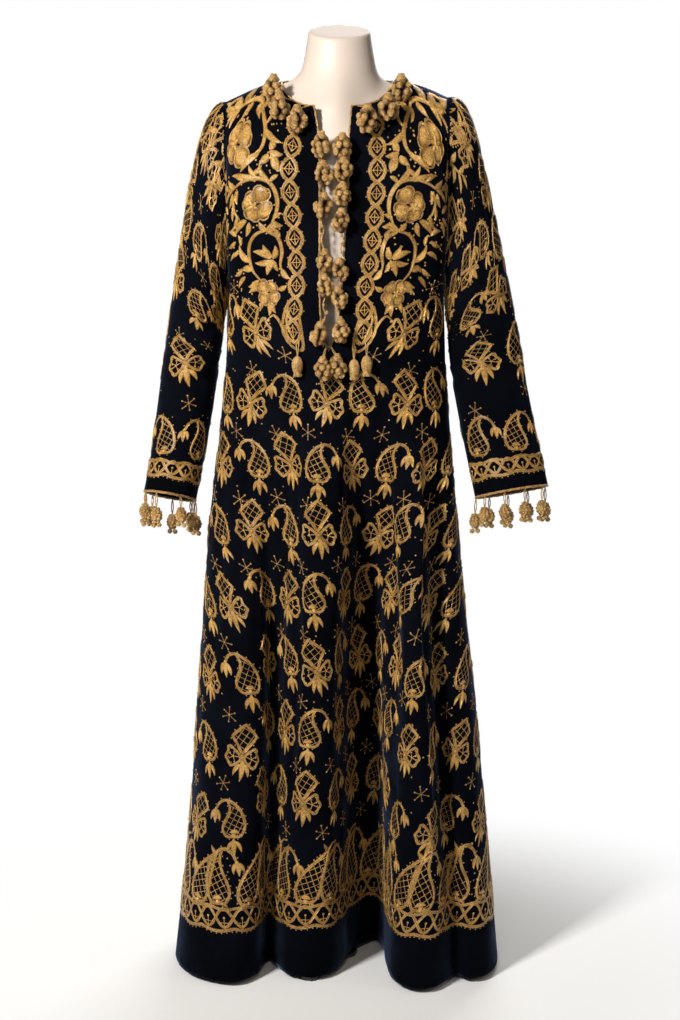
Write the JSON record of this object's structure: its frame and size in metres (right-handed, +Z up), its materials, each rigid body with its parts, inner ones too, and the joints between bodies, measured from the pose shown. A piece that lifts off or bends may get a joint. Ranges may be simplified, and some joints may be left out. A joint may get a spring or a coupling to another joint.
{
  "type": "embroidered velvet dress on dress form",
  "caption": "Full-length velvet dress with long straight sleeves, slit round neckline, flared folded skirt and tasselled gold trim, resting on a limbless dress form with a pole and flat foot.",
  "frame": {"origin": "centre of the underside of the stand's foot, on the floor under the pole", "axes": "+Z up from the floor to the neck, +X to the wearer's left as seen from the front, +Y to the back of the dress"},
  "size_m": [0.6724, 0.3841, 1.5466],
  "materials": {
    "velvet": "soft pile velvet, near-black navy",
    "gold_thread": "twisted metallic gold thread",
    "form_cream": "smooth matt cream",
    "steel": "dark satin paint"
  },
  "bodies": {
    "root": {"front": "velvet", "back": "velvet", "sleeve_left": "velvet", "sleeve_right": "velvet", "neck_cord": "gold_thread", "chain_tassel_left": "gold_thread", "chain_tassel_right": "gold_thread", "chain_tassel_inner": "gold_thread", "cuff_trim_left": "gold_thread", "cuff_trim_right": "gold_thread", "dress_form": "form_cream", "stand_pole": "steel", "stand_foot": "steel"}
  },
  "joints": []
}
